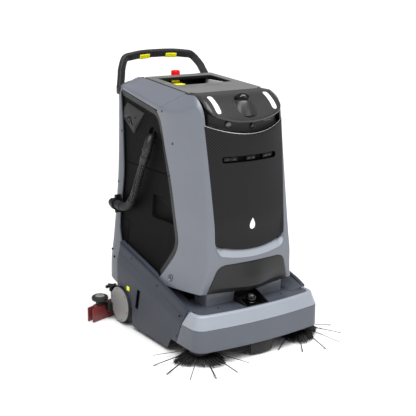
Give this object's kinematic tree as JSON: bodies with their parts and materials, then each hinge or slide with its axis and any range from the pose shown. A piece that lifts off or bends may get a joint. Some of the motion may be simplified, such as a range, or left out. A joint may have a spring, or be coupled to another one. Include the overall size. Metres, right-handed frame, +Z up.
{
  "type": "wet dry floor scrubber",
  "caption": "Autonomous wheeled floor scrubber: tall tower on a low apron, spinning side brushes, lifting scrub deck, curved squeegee, hinged lid and push handle.",
  "frame": {"origin": "on the floor under the centre of the bounding box", "axes": "+Z up, the machine's front faces -Y, +X is the side with the hinged door"},
  "size_m": [0.9059, 0.966, 1.204],
  "materials": {
    "body_grey": "satin moulded cover",
    "dark_grey": "matte moulded cover",
    "black_plastic": "satin black plastic",
    "black_gloss": "gloss window",
    "rubber": "soft black rubber",
    "signal_red": "signal red",
    "squeegee_red": "dark red",
    "yellow": "signal yellow",
    "lamp_white": "diffuser",
    "tank_grey": "light grey liner",
    "zinc_steel": "plated steel",
    "disc_grey": "light grey wheel disc"
  },
  "bodies": {
    "machine": {"side_panel_left": "black_plastic", "side_panel_right": "black_plastic", "side_door_left": "black_plastic", "front_shell": "body_grey", "front_panel": "black_plastic", "lower_panel": "black_plastic", "head_visor": "black_plastic", "light_bar_left": "lamp_white", "light_bar_right": "lamp_white", "camera_dome": "black_gloss", "sensor_bar": "black_plastic", "shoulder_cap_left": "body_grey", "shoulder_cap_right": "body_grey", "console_tray": "tank_grey", "estop_base": "yellow", "rear_cover": "body_grey", "front_bumper": "body_grey", "side_skirt_left": "dark_grey", "side_skirt_right": "dark_grey", "scanner_bay": "black_plastic", "scanner_head": "black_gloss", "chassis_frame": "dark_grey", "drive_motor_left": "zinc_steel", "drive_motor_right": "zinc_steel", "side_brush_arm_left": "black_plastic", "side_brush_arm_right": "black_plastic", "battery_pack": "black_plastic", "solution_tank": "tank_grey", "recovery_tank": "tank_grey", "vacuum_motor": "black_plastic", "drain_hose": "rubber", "hose_clip": "black_plastic", "push_handle": "black_plastic"},
    "lid": {"top_lid": "black_plastic"},
    "door": {"side_door_right": "black_plastic"},
    "estop": {"estop_button": "signal_red"},
    "pad_left": {"handle_pad_left": "yellow"},
    "pad_right": {"handle_pad_right": "yellow"},
    "drive_wheel_left": {"drive_tyre_left": "rubber", "wheel_disc_left": "disc_grey"},
    "drive_wheel_right": {"drive_tyre_right": "rubber", "wheel_disc_right": "disc_grey"},
    "fork_left": {"caster_fork_left": "zinc_steel"},
    "fork_right": {"caster_fork_right": "zinc_steel"},
    "roll_left": {"caster_wheel_left": "rubber"},
    "roll_right": {"caster_wheel_right": "rubber"},
    "sweeper_left": {"side_brush_left": "rubber"},
    "sweeper_right": {"side_brush_right": "rubber"},
    "deck": {"scrub_deck": "black_plastic"},
    "scrubber_left": {"scrub_brush_left": "dark_grey"},
    "scrubber_right": {"scrub_brush_right": "dark_grey"},
    "squeegee": {"squeegee_frame": "squeegee_red", "squeegee_arm": "black_plastic", "squeegee_blade_front": "squeegee_red", "squeegee_blade_rear": "squeegee_red"},
    "guard_left": {"guard_roller_left": "rubber"},
    "guard_right": {"guard_roller_right": "rubber"},
    "knob_left": {"squeegee_knob_left": "black_plastic"},
    "knob_right": {"squeegee_knob_right": "black_plastic"},
    "cap": {"drain_cap": "rubber"}
  },
  "joints": [
    {"name": "lid_hinge", "type": "hinge", "parent": "machine", "child": "lid", "pos_m": [0, -0.107, 1.0745], "axis": [1, 0, 0], "range_deg": [0, 80]},
    {"name": "door_hinge", "type": "hinge", "parent": "machine", "child": "door", "pos_m": [0.28, 0.3675, 0.5], "axis": [0, 0, 1], "range_deg": [0, 100]},
    {"name": "estop_press", "type": "slide", "parent": "machine", "child": "estop", "axis": [0, 0, -1], "range_m": [0, 0.006], "stiffness_N_per_m": 900},
    {"name": "pad_left_press", "type": "slide", "parent": "machine", "child": "pad_left", "axis": [0, 0.9864, -0.1641], "range_m": [0, 0.0022], "stiffness_N_per_m": 1500},
    {"name": "drive_wheel_left_spin", "type": "hinge", "parent": "machine", "child": "drive_wheel_left", "pos_m": [-0.304, 0.275, 0.09], "axis": [1, 0, 0], "continuous": true},
    {"name": "caster_left_swivel", "type": "hinge", "parent": "machine", "child": "fork_left", "pos_m": [-0.235, 0, 0.1], "axis": [0, 0, 1], "continuous": true},
    {"name": "caster_left_roll", "type": "hinge", "parent": "fork_left", "child": "roll_left", "pos_m": [-0.235, 0.02, 0.036], "axis": [1, 0, 0], "continuous": true},
    {"name": "side_brush_left_spin", "type": "hinge", "parent": "machine", "child": "sweeper_left", "pos_m": [-0.25, -0.276, 0.04], "axis": [0, 0, 1], "continuous": true},
    {"name": "pad_right_press", "type": "slide", "parent": "machine", "child": "pad_right", "axis": [0, 0.9864, -0.1641], "range_m": [0, 0.0022], "stiffness_N_per_m": 1500},
    {"name": "drive_wheel_right_spin", "type": "hinge", "parent": "machine", "child": "drive_wheel_right", "pos_m": [0.304, 0.275, 0.09], "axis": [1, 0, 0], "continuous": true},
    {"name": "caster_right_swivel", "type": "hinge", "parent": "machine", "child": "fork_right", "pos_m": [0.235, 0, 0.1], "axis": [0, 0, 1], "continuous": true},
    {"name": "caster_right_roll", "type": "hinge", "parent": "fork_right", "child": "roll_right", "pos_m": [0.235, 0.02, 0.036], "axis": [1, 0, 0], "continuous": true},
    {"name": "side_brush_right_spin", "type": "hinge", "parent": "machine", "child": "sweeper_right", "pos_m": [0.25, -0.276, 0.04], "axis": [0, 0, 1], "continuous": true},
    {"name": "deck_lift", "type": "slide", "parent": "machine", "child": "deck", "axis": [0, 0, 1], "range_m": [0, 0.03]},
    {"name": "scrub_brush_left_spin", "type": "hinge", "parent": "deck", "child": "scrubber_left", "pos_m": [-0.114, 0.122, 0.05], "axis": [0, 0, 1], "continuous": true},
    {"name": "scrub_brush_right_spin", "type": "hinge", "parent": "deck", "child": "scrubber_right", "pos_m": [0.114, 0.122, 0.05], "axis": [0, 0, 1], "continuous": true},
    {"name": "squeegee_lift", "type": "hinge", "parent": "machine", "child": "squeegee", "pos_m": [0, 0.25, 0.098], "axis": [1, 0, 0], "range_deg": [0, 7]},
    {"name": "guard_roller_left_spin", "type": "hinge", "parent": "squeegee", "child": "guard_left", "pos_m": [-0.372, 0.37908, 0.099], "axis": [0, 0, 1], "continuous": true},
    {"name": "squeegee_knob_left_turn", "type": "hinge", "parent": "squeegee", "child": "knob_left", "pos_m": [-0.3, 0.39768, 0.13], "axis": [0, 0, 1], "continuous": true},
    {"name": "guard_roller_right_spin", "type": "hinge", "parent": "squeegee", "child": "guard_right", "pos_m": [0.372, 0.37908, 0.099], "axis": [0, 0, 1], "continuous": true},
    {"name": "squeegee_knob_right_turn", "type": "hinge", "parent": "squeegee", "child": "knob_right", "pos_m": [0.3, 0.39768, 0.13], "axis": [0, 0, 1], "continuous": true},
    {"name": "drain_cap_turn", "type": "hinge", "parent": "machine", "child": "cap", "pos_m": [-0.295, 0.372, 0.54], "axis": [0, 1, 0], "continuous": true}
  ]
}
